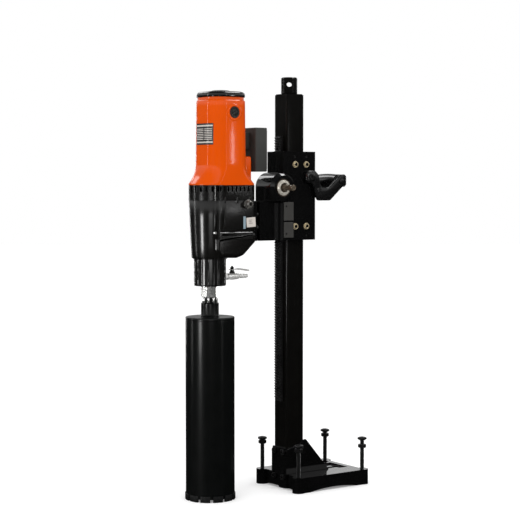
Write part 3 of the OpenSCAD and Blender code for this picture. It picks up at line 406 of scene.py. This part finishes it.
# ------------------------------------------------------------------ coupling and bit
bm = new()
hexnut(bm, 36.5, 462, 487.9, (SX, 0, 0), "Z", ch=1.6, a0=math.radians(8 - 30), n=96)
make("coupling_hex", bm, "spindle", "chrome_nut", smooth=28)
bm = new()
lathe(bm, fillet([(0, 449.9), (15.2, 449.9, 0.8), (15.2, 461.9), (0, 461.9)], 3, False), (SX, 0, 0), "Z", 72)
make("coupling_core", bm, "spindle", "black_bolts", smooth=35)
bm = new()
for k in range(8):  # short splines under the hexagon
    q = 2*pi*k/8
    c = (SX + 15.6*math.cos(q), 15.6*math.sin(q))
    lathe(bm, fillet([(0, 450.2), (2.5, 450.2, 0.6), (2.5, 461.9, 0.6), (0, 461.9)], 2, False), (c[0], c[1], 0), "Z", 16)
make("coupling_neck", bm, "spindle", "chrome_nut", ["bit_coupling"], smooth=35)
bm = new()
lathe(bm, fillet([(10.1, 418), (10.1, 449.7), (18.9, 449.7, 0.8), (20.4, 448.2, 0.6), (20.5, 424.5), (21.4, 421.2, 1.5), (23.6, 418.4, 1.0), (23.6, 417.6), (10.1, 417.6)], 4), (SX, 0, 0), "Z", 96, closed=True)
make("bit_hub", bm, "spindle", "bit_black", smooth=38)
bm = new()
R = 56.0
prof = [(R - 2.4, 6.4), (R - 0.3, 6.4), (R - 0.05, 6.7), (R, 14.3), (R, 120), (R, 240), (R, 330), (R, 408.6), (R - 0.05, 410.2), (R - 0.35, 410.5), (R - 0.35, 411.2), (R - 0.05, 411.5), (R, 413), (R, 416.6), (R - 0.4, 417.5), (R - 1.3, 417.95), (R - 4, 418.0), (23, 418.0), (10, 417.8), (10, 411), (R - 2.5, 411)]
lathe(bm, prof, (SX, 0, 0), "Z", 160, closed=True)
make("bit_tube", bm, "spindle", "bit_black", ["core_bit_tube"], smooth=38)
bm = new()
for k in range(12):  # sintered segments with grooved faces and a small relief step
    a0 = 2*pi*(k + 0.5)/12; half = (2*pi/12 - 6.8/56)/2; outl = []
    ng = 12
    for i in range(ng + 1):
        a = a0 - half + 2*half*i/ng
        r = 57.8 - (0.35 if i % 3 == 1 else 0)
        outl.append((SX + r*math.cos(a), r*math.sin(a)))
    for i in range(ng, -1, -1):
        a = a0 - half + 2*half*i/ng; r = 52.6
        outl.append((SX + r*math.cos(a), r*math.sin(a)))
    prism(bm, outl, 0.02, 13.9, "Z", r=0.45, seg=2)
make("crown", bm, "spindle", "crown_steel", ["crown_segments"], smooth=30)

# ------------------------------------------------------------------ leveling screws, lock nuts
drop = (1, 9, 0, 2)
for i in range(4):
    x, y = LX[i % 2], LY[i//2]
    bm = new()
    thread(bm, 5.0, 1.5, 7.0, 106.4, 0.6, (x, y, 0), n=28)
    lathe(bm, fillet([(0, 2.05), (2.6, 2.05, 1.0), (4.1, 6.0, 0.8), (4.1, 8.5), (0, 8.5)], 4, False), (x, y, 0), "Z", 32)
    def kn(q, h, r):
        return r - (0.28*(1 + math.cos(q*36))/2 if r > 10.4 and 107.6 < h < 111.2 else 0)
    lathe(bm, [(0, 105), (6.6, 105), (7.2, 105.6), (7.2, 106.8), (8.2, 107), (10.3, 107.1), (10.9, 107.7), (11, 108.2), (11, 110.4), (10.7, 111.2), (9.6, 111.9), (7.6, 112.3), (6.6, 112.8), (5.8, 113.0), (3.5, 113.0), (3.3, 112.7), (3.3, 109.5), (0, 109.5)], (x, y, 0), "Z", 144, rf=kn)
    make(f"level_screw_body_{i+1}", bm, f"leveler_{i+1}", "black_bolts", [f"level_screw_{i+1}"], smooth=40)
    bm = new()
    z0 = 113 - 17 - drop[i]
    hexnut(bm, 17, z0, z0 + 8.5, (x, y, 0), "Z", bore=4.9, ch=0.9, a0=0.35 + i)
    make(f"lock_nut_body_{i+1}", bm, f"leveler_{i+1}", "black_bolts", [f"lock_nut_{i+1}"], smooth=28)

# ------------------------------------------------------------------ carrying handle
arm = fillet([(9, 728, 5), (9, 744, 7), (15, 750.5, 6), (36, 750.5, 8), (46, 741, 6), (50.5, 722, 8), (53.5, 711.2, 6), (76.5, 711.2, 9), (112, 742.3, 6), (124, 742.3, 6), (128.3, 738, 5), (128.3, 718, 6), (124, 713, 5), (117, 713, 5), (80, 680.8, 9), (44, 680.8, 8), (38, 690, 6), (33, 711, 8), (24, 721.5, 6), (15, 722, 6)], 6)
for s, nm in ((-1, "near"), (1, "far")):
    bm = new()
    prism(bm, arm, min(48.6*s, 56.4*s), max(48.6*s, 56.4*s), "Y", r=2.3, seg=4)
    lathe(bm, [(0, 55.5*s), (13, 55.5*s), (12.2, 57.2*s), (10.5, 57.9*s), (0, 57.9*s)], (22, 0, 736), "Y", 56)
    make(f"handle_arm_{nm}", bm, "carriage", "gloss_black", ["handle_frame"] if s < 0 else (), smooth=42)
bm = new(); prof = [(8, -47.9), (13.2, -47.9), (14.8, -47.2), (15.6, -45.5), (15.7, -43)]
for k in range(13):
    h = -40 + 80*k/12; prof.append((15.7 + 1.7*math.cos(h/40*pi/2), h))
prof += [(15.7, 43), (15.6, 45.5), (14.8, 47.2), (13.2, 47.9), (8, 47.9)]
lathe(bm, prof, (113, 0, 727), "Y", 72)
make("handle_grip_body", bm, "carriage", "gloss_black", ["handle_grip"], smooth=60)

# ------------------------------------------------------------------ water valve
bm = new(); o = (0, 0, 507.5)
lathe(bm, fillet([(3.2, -188.5), (6.0, -188.5), (6.0, -186.8), (3.2, -186.8)], 2), o, "X", 40, closed=True)
hexnut(bm, 14.5, -186.8, -178.8, o, "X", bore=3.2, ch=0.9, a0=0.2)
lathe(bm, fillet([(3.2, -178.8), (5.7, -178.8), (5.7, -177.4, 0.4), (7.4, -176.6, 0.6), (7.4, -173.6, 0.6), (6.9, -173.0, 0.3), (7.7, -167.5, 3), (7.9, -163, 3), (7.7, -158.5, 3), (6.9, -154.0, 0.3), (7.4, -153.4, 0.6), (7.4, -151.6, 0.6), (3.2, -151.6)], 4), o, "X", 64, closed=True)
hexnut(bm, 13, -151.6, -146.4, o, "X", bore=3.2, ch=0.8, a0=0.1)
prof = [(3.2, -146.4), (4.4, -146.4)]
for k in range(4):
    bx_ = -145 + k*5.6; prof += [(4.2, bx_), (5.5, bx_ + 0.5), (5.4, bx_ + 1.3), (4.2, bx_ + 4.4)]
prof += [(4.2, -121.6), (3.9, -121.0), (3.2, -121.0)]
lathe(bm, prof, o, "X", 48, closed=True)
make("valve_body", bm, "carriage", "nickel", ["water_valve_body"], smooth=32)
bm = new()
hexnut(bm, 11, 514.4, 518.6, (-163, 0, 0), "Z", bore=2.7, ch=0.5, a0=0.4)
lathe(bm, [(2.7, 518.4), (4.6, 518.4), (4.4, 520.7), (2.7, 520.7)], (-163, 0, 0), "Z", 32, closed=True)
make("valve_gland_nut", bm, "carriage", "black_bolts", smooth=32)
bm = new()
lev = [(-170.2, -3.4, 2), (-166, -6.2, 3), (-160, -6.2, 3), (-152, -3.6, 4), (-126, -3.2, 4), (-121, -4.6, 3), (-117.4, -4.2, 3), (-117.4, 4.2, 3), (-121, 4.6, 3), (-126, 3.2, 4), (-152, 3.6, 4), (-160, 6.2, 3), (-166, 6.2, 3), (-170.2, 3.4, 2)]
pts = fillet(lev, 4)
def bend(x): return 2.4*math.sin(min(1, max(0, x + 156)/12)*pi/2) - 0.155*max(0, x + 147)
seg_x = [-170 + 53*k/26 for k in range(27)]
def half_w(x):
    best = [abs(p[1]) for p in pts if abs(p[0] - x) < 4]
    return max(best) if best else 3.6
rings = []
for x in seg_x:   # pressed lever: flat plate with turned-down flanges
    w_ = 6.0 if x < -158 else max(3.7, 6.0 - (x + 158)*0.35)
    if x > -121: w_ = 4.3
    if x <= -169.5: w_ = 3.2
    if x > -117.5: w_ = 3.0
    fl = 0.0 if x < -154 else min(2.4, (x + 154)*0.5)
    z = 523.9 + bend(x)
    rings.append([(x, -w_, z - 1.6 - fl), (x, -w_, z - 0.5), (x, -w_ + 0.5, z), (x, w_ - 0.5, z), (x, w_, z - 0.5), (x, w_, z - 1.6 - fl), (x, w_ - 1.1, z - 1.6 - fl), (x, w_ - 1.1, z - 1.6), (x, -w_ + 1.1, z - 1.6), (x, -w_ + 1.1, z - 1.6 - fl)])
loft(bm, rings)
make("valve_lever", bm, "valve_handle", "nickel", ["water_valve_lever"], smooth=35)
bm = new()
hexnut(bm, 8, 524.2, 528.6, (-163, 0, 0), "Z", ch=0.4)
thread(bm, 2.4, 0.8, 516, 531.3, 0.35, (-163, 0, 0), n=20)
lathe(bm, [(0, 520.9), (4.6, 520.9), (4.6, 522.2), (0, 522.2)], (-163, 0, 0), "Z", 32)
make("valve_stem", bm, "valve_handle", "black_bolts", smooth=35)

# ------------------------------------------------------------------ switch box
bm = new()
prism(bm, rrect(-117.5, -84.2, -30, 30, 3.5), 748, 849, "Z", r=2.2, seg=4)
prism(bm, rrect(-143.6, -116, -6, 28, 3), 800, 838, "Z", r=1.5, seg=2)
make("switch_box_shell", bm, "carriage", "box_grey", ["switch_box"], smooth=40)
bm = new()
prism(bm, rrect(-26.5, 26.5, 751.5, 845.5, 5), -84.3, -82.7, "X", r=0.7, seg=2)   # lid on the back
for y in (-21.5, 21.5):
    for z in (756.5, 840.5): socket_head(bm, (-83.2, y, z), "X", 2.8, 2.2, 1, 2.6, False)
make("switch_box_lid", bm, "carriage", "box_grey", smooth=38)

# ------------------------------------------------------------------ bolts
bm = new()
for s in (-1, 1):
    for x in (-16, 16):
        for z in (621, 765):
            socket_head(bm, (x, 46*s, z), "Y", 6.3, 3.9, s, 7.4)
            lathe(bm, [(6.4, 46.0*s), (7.6, 46.0*s), (7.5, 46.5*s), (6.4, 46.6*s)], (x, 0, z), "Y", 40, closed=True)
make("carriage_bolt_heads", bm, "carriage", "yellow_zinc", ["carriage_bolts"], smooth=32)
bm = new()
for s in (-1, 1):
    for x, z in ((-17, 783.3), (16, 783.3), (16, 600)):
        c = 1.5
        lathe(bm, [(0, 45.3*s), (c, 45.3*s), (c, 46.1*s), (2.3, 46.2*s), (2.5, 45.9*s), (2.5, 44*s), (0, 44*s)], (x, 0, z), "Y", 24)
make("set_screws", bm, "carriage", "black_bolts", smooth=32)
bm = new()
# painted shade: dark hexagon discs just inside the socket heads, and discs filling the set screw sockets, stand in
# for the shade in those recesses
def shade_plug(bm, o, ax, af, h, sgn, n=24):
    c = af/2/math.cos(pi/6)*0.97
    lathe(bm, [(0, h*sgn), (c, h*sgn), (c*0.9, (h - 0.5)*sgn), (0, (h - 0.5)*sgn)], o, ax, n, rf=lambda q, hh, rr: hexr(af, q)*(rr/c))
for s in (-1, 1):
    for x in (-16, 16):
        for z in (621, 765): shade_plug(bm, (x, 46*s, z), "Y", 7.4, 3.1, s)
    for x, z in ((-17, 783.3), (16, 783.3), (16, 600)):
        lathe(bm, [(0, 46.15*s), (1.5, 46.15*s), (1.4, 45.8*s), (0, 45.8*s)], (x, 0, z), "Y", 20)
    # small set screws that lock the gib plates, drawn as dark dimples in the same painted shade black
    for z in (668, 604):
        lathe(bm, [(0, 48.15*s), (1.9, 48.15*s), (2.3, 48.02*s), (2.3, 47.6*s), (0, 47.6*s)], (-43, 0, z), "Y", 24)
make("bolt_socket_painted_shade", bm, "carriage", "socket_painted_shade", smooth=30)
bm = new()
for y in (-17, 17):
    for z in (28, 88): socket_head(bm, (-29.3, y, z), "X", 6.5, 4.9, -1, 6.4)
make("shoe_bolt_heads", bm, "stand", "black_bolts", ["shoe_bolts"], smooth=32)
bm = new()
for s in (-1, 1):
    socket_head(bm, (22, 56.6*s, 736), "Y", 7, 5, s, 6.4)
    lathe(bm, [(0, 56.4*s), (6.2, 56.4*s), (6.0, 58*s), (4.6, 58.6*s), (0, 58.6*s)], (113, 0, 727), "Y", 36)
make("handle_bolt_heads", bm, "carriage", "black_bolts", ["handle_bolts"], smooth=32)
bm = new()
for y, z in ((-25, 605), (25, 605), (-25, 665), (25, 665)): socket_head(bm, (-87, y, z), "X", 6.5, 7, -1, 6.4)
for y, z in ((-27, 620), (27, 620), (-27, 650), (27, 650)): socket_head(bm, (-117, y, z), "X", 6.5, 6, 1, 6.4)
make("bracket_bolt_heads", bm, "carriage", "black_bolts", ["bracket_bolts"], smooth=32)

# ------------------------------------------------------------------ flanged bush round the feed shaft
bm = new()
lathe(bm, fillet([(11.0, -49.0), (11.0, -52.7, 0.3), (11.6, -53.0, 0.3), (14.4, -53.0, 1.2), (15.9, -52.0, 1.0), (16.6, -50.3, 0.5), (18.0, -50.0, 0.5), (18.0, -49.0)], 4), (PX, 0, PZ), "Y", 96, closed=True)
make("bush_rim", bm, "carriage", "ring_steel", smooth=40)
bm = new()
lathe(bm, [(7.62, -50.6), (10.98, -50.6), (10.98, -49.1), (7.62, -49.1)], (PX, 0, PZ), "Y", 72, closed=True)
lathe(bm, [(7.62, -49.0), (20.8, -48.6), (20.8, -10.6), (7.62, -10.6)], (PX, 0, PZ), "Y", 72, closed=True)
lathe(bm, [(7.62, 6.6), (11.9, 6.6), (11.9, 14.4), (7.62, 14.4)], (PX, 0, PZ), "Y", 48, closed=True)
make("bush_body", bm, "carriage", "bush_bronze", ["pinion_bushes"], smooth=35)
# feed shaft end: hub seat with chamfered nose and a centre hole
bm = new()
lathe(bm, fillet([(1.0, -87.4), (2.4, -88.9), (5.8, -88.9, 0.4), (6.9, -87.4, 0.4), (6.97, -62.2), (7.5, -61.6), (7.5, -8.2), (0, -8.2), (0, -86.0)], 3, True), (PX, 0, PZ), "Y", 72)
make("feed_shaft_end", bm, "feed_shaft", "turned_steel", smooth=35)

# ------------------------------------------------------------------ cable gland
bm = new(); o = (-152, 0, 674)
hexnut(bm, 19, -50.8, -44.8, o, "Y", bore=4.3, ch=1.0, a0=0.3)
lathe(bm, fillet([(4.3, -50.8), (8.3, -50.8), (8.3, -52.2, 0.3), (7.9, -52.6), (8.6, -53.2, 0.5), (8.6, -56.4, 0.6), (7.8, -58.2, 1.2), (6.2, -60.2, 1.2), (4.9, -60.6), (4.3, -60.2)], 4), o, "Y", 56, closed=True)
make("gland_body", bm, "carriage", "gland_metal", ["cable_gland"], smooth=32)

# ------------------------------------------------------------------ rating plate and labels: blank, with plain bars
def front_point(y, z, d):
    """Point on the motor shell's front for a given y, raised by d."""
    ring = support(0, -d, n=360, w=100.6)
    best = min((p for p in ring if p[0] < AX), key=lambda p: abs(p[1] - y))
    return (best[0], best[1], z)
def wrap(bm, y0, y1, z0, z1, d0, d1, n=22):
    rows = []
    a0, a1 = y0, y1
    ring_in, ring_out = [], []
    for k in range(n + 1):
        y = a0 + (a1 - a0)*k/n
        ring_in.append(plate_pt(y, d0)); ring_out.append(plate_pt(y, d1))
    outl = ring_out + ring_in[::-1]
    prism(bm, outl, z0, z1, "Z", r=0.0001, seg=1)
def plate_pt(s, d):
    """s is the distance along the shell's outline from the middle of the front, towards -Y."""
    f = 15.3; r = 35.0; x0 = AX - 50.3
    if abs(s) <= f: return (x0 - d, -s)
    a = (abs(s) - f)/r; sg = 1 if s > 0 else -1
    return (x0 + r - (r + d)*math.cos(a), -sg*(f + (r + d)*math.sin(a)))
bm = new(); wrap(bm, -24, 37, 808, 856, -0.3, 0.45); make("plate_black", bm, "carriage", "label_dark", smooth=30)
bm = new()
wrap(bm, -22.5, 35.5, 849, 852.4, 0.2, 0.62)
for k in range(7):
    z = 819.5 + k*3.9
    wrap(bm, -21, 6, z, z + 1.5, 0.2, 0.58); wrap(bm, 9.5, 34, z, z + 1.5, 0.2, 0.58)
wrap(bm, -22.5, 35.5, 812, 815.2, 0.2, 0.62)
make("plate_bars", bm, "carriage", "label_white", ["nameplates"], smooth=30)
bm = new()
prism(bm, rrect(-12.5, 12.5, -11, 11, 1), 0, 0.7, "Z", r=0.2, seg=1)
for v in bm.verts: v.co = Matrix.Rotation(math.radians(90), 3, "X") @ v.co; v.co = Matrix.Rotation(math.radians(-4), 3, "Y") @ v.co + Vector((-141, -44.6, 632.6))
make("label_plain", bm, "carriage", "label_white", smooth=30)
bm = new()
for k, (w_, h_) in enumerate(((9, 1.0), (7, 1.0), (10, 1.0))):
    x0 = -6
    prism(bm, rrect(x0, x0 + w_, 4.5 - 3.6*k, 4.5 - 3.6*k + h_, 0.3, 2), 0.6, 0.95, "Z", r=0.1, seg=1)
for v in bm.verts: v.co = Matrix.Rotation(math.radians(90), 3, "X") @ v.co; v.co = Matrix.Rotation(math.radians(-4), 3, "Y") @ v.co + Vector((-141, -44.6, 632.6))
make("label_bars", bm, "carriage", "label_dark", smooth=30)
mat("label_blue", (0.20, 0.27, 0.31), 0.35, 0, 0.3, bump=0.03)
bm = new(); prism(bm, rrect(-3.2, 3.2, -14, 14, 0.8), 0, 0.6, "Z", r=0.15, seg=1)
for k in range(5): prism(bm, rrect(-2, 2, -11 + 5*k, -9.6 + 5*k, 0.3, 2), 0.5, 0.8, "Z", r=0.1, seg=1)
for v in bm.verts: v.co = Matrix.Rotation(math.radians(90), 3, "X") @ v.co + Vector((-159, -44.6, 632))
make("label_strip", bm, "carriage", "label_blue", smooth=30)

# ------------------------------------------------------------------ small things on the shell and case
bm = new()
for y in (-15, 15):  # screws on the rear tower
    for z in (728, 768): socket_head(bm, (-129.2, y, z), "X", 3.4, 2.6, 1, 3)
for sx in (-1, 1):
    for sy in (-1, 1): socket_head(bm, (AX + sx*31, sy*31, 926.6), "Z", 3.2, 2.0, 1, 3)
make("shell_screws", bm, "carriage", "zinc_screw", smooth=32)
bm = new()
for s in (-1, 1):
    for x in (-236.0, -214, -180, -146):  # bosses along the seam of case and vented ring
        lathe(bm, fillet([(0, 676.5), (4.0, 676.5, 1.5), (4.0, 689.5, 1.5), (0, 689.5)], 4, False), (x, (44.0 if x > -230 else 42.5)*s, 0), "Z", 24)
make("seam_bosses", bm, "carriage", "case_black", smooth=50)

# ------------------------------------------------------------------ CAD pieces that stay: their edges are broken
def soften(node, width, angle=30, seg=2):
    o = N[node]; me = o.data
    a = me.attributes.get("custom_normal")
    if a: me.attributes.remove(a)
    me.shade_smooth()
    wd = o.modifiers.new("weld", "WELD"); wd.merge_threshold = 1e-6
    b = o.modifiers.new("edge", "BEVEL"); b.width = width*MM; b.segments = seg; b.limit_method = "ANGLE"
    b.angle_limit = math.radians(angle); b.harden_normals = True; b.use_clamp_overlap = True; b.miter_outer = "MITER_ARC"
for node, wd in (("base_plate", 2.2), ("column_shoe", 1.1), ("carriage_housing", 2.4), ("motor_bracket", 1.0), ("column_tube", 0.3),
                 ("column_top_nut", 0.4), ("gear_rack", 0.25), ("gib_plates", 0.5), ("vent_ring", 0.6), ("pinion_bushes", 0.4), ("feed_pinion_shaft", 0.3),
                 ("jack_screw", 0.4), ("switch_rocker", 0.3), ("guide_pads", 0.4)):
    soften(node, wd)

# ------------------------------------------------------------------ camera, floor, light
cam_d = bpy.data.cameras.new("camera"); cam = bpy.data.objects.new("camera", cam_d)
S.collection.objects.link(cam)
cam.location = (-2.09218, -2.82832, 0.72181)
look = Vector((0.578147, 0.814300, -0.0515816))
cam.rotation_euler = look.to_track_quat("-Z", "Y").to_euler()
cam_d.sensor_width = 36.0
cam_d.lens = 1489.957/520*36
cam_d.clip_end = 60
S.camera = cam
S.view_settings.view_transform = "Standard"

fm = bpy.data.materials.new("floor"); fm.use_nodes = True
fb = fm.node_tree.nodes["Principled BSDF"]
fb.inputs["Base Color"].default_value = (0.86, 0.86, 0.86, 1)
fb.inputs["Roughness"].default_value = 0.65
fb.inputs["Specular IOR Level"].default_value = 0.0
fb.inputs["Emission Color"].default_value = (1, 1, 1, 1)
fb.inputs["Emission Strength"].default_value = 0.22
bm = bmesh.new(); bmesh.ops.create_circle(bm, cap_ends=True, radius=14, segments=96)
me = bpy.data.meshes.new("floor"); bm.to_mesh(me); bm.free()
floor = bpy.data.objects.new("floor", me); S.collection.objects.link(floor)
me.materials.append(fm); floor.location = (0, 0, -0.0002)
floor.visible_glossy = False

w = bpy.data.worlds.new("world"); S.world = w; w.use_nodes = True
nt = w.node_tree; bg = nt.nodes["Background"]
lp = nt.nodes.new("ShaderNodeLightPath")
tcw = nt.nodes.new("ShaderNodeTexCoord")
sep = nt.nodes.new("ShaderNodeSeparateXYZ")
nt.links.new(tcw.outputs["Generated"], sep.inputs[0])
def rng(src, f0, f1, t0, t1):                     # studio seen in reflections: dark below, pale sweep, dim ceiling
    r = nt.nodes.new("ShaderNodeMapRange")
    for k, v in (("From Min", f0), ("From Max", f1), ("To Min", t0), ("To Max", t1)): r.inputs[k].default_value = v
    nt.links.new(src, r.inputs["Value"]); return r.outputs["Result"]
up = rng(sep.outputs[2], 0.066, 0.15, 0.012, 1.15)
dn = rng(sep.outputs[2], 0.22, 0.60, 1.0, 0.10)
mm_ = nt.nodes.new("ShaderNodeMath"); mm_.operation = "MULTIPLY"
nt.links.new(up, mm_.inputs[0]); nt.links.new(dn, mm_.inputs[1])
mw = nt.nodes.new("ShaderNodeMix"); mw.data_type = "FLOAT"
nt.links.new(lp.outputs["Is Glossy Ray"], mw.inputs[0])
mw.inputs[2].default_value = 1.0
nt.links.new(mm_.outputs[0], mw.inputs[3])
nt.links.new(mw.outputs[0], bg.inputs["Strength"])
bg.inputs["Color"].default_value = (1, 1, 1, 1)

def area(name, loc, target, sx, sy, power, col=(1, 1, 1)):
    l = bpy.data.lights.new(name, "AREA"); l.shape = "RECTANGLE"; l.size = sx; l.size_y = sy
    l.energy = power; l.color = col
    o = bpy.data.objects.new(name, l); S.collection.objects.link(o)
    o.location = loc
    o.rotation_euler = (Vector(target) - Vector(loc)).to_track_quat("-Z", "Y").to_euler()
    return o
def polar(az, r, z): return (-0.1 + r*math.cos(math.radians(az)), r*math.sin(math.radians(az)), z)
for nm, az, r, z, sx, sz, pw, tgt in (("strip_left_rear", 146, 2.6, 0.85, 0.10, 1.7, 7.0, (-0.22, 0, 0.7)), ("strip_right_front", 292, 2.6, 0.85, 0.07, 1.7, 2.2, (-0.2, 0, 0.7)), ("shell_glint", 301.8, 2.59, 0.86, 0.06, 0.22, 0.8, (-0.2, 0, 0.8)),
                                     ("case_soft", 239, 2.2, 0.54, 0.75, 0.26, 2.6, (-0.22, 0, 0.6)),
    ("collar_soft", 190, 2.2, 0.36, 0.42, 0.42, 15.0, (-0.22, 0, 0.5)),
                                     ("strip_right_rear", 20, 2.6, 0.9, 0.12, 1.7, 7, (-0.05, 0, 0.6)), ("strip_far", 85, 2.6, 0.9, 0.12, 1.7, 7, (-0.1, 0, 0.6))):
    l = area(nm, polar(az, r, z), tgt, sx, sz, pw); l.visible_diffuse = False; l.visible_camera = False
for nm, loc, pw in (("edge_top_a", (0.96, -0.22, 2.53), 26.0), ("edge_top_b", (-0.19, 1.7, 2.15), 8.0)):
    l = area(nm, loc, (-0.15, 0, 0.8), 0.75, 0.75, pw); l.visible_diffuse = False; l.visible_camera = False
k = area("key_left", (-3.0, -1.6, 2.0), (-0.15, 0, 0.5), 1.4, 1.6, 24); k.visible_glossy = False; k.visible_camera = False
k = area("top", (-0.3, -0.4, 2.7), (-0.05, 0, 0.4), 1.6, 1.6, 12); k.visible_glossy = False; k.visible_camera = False
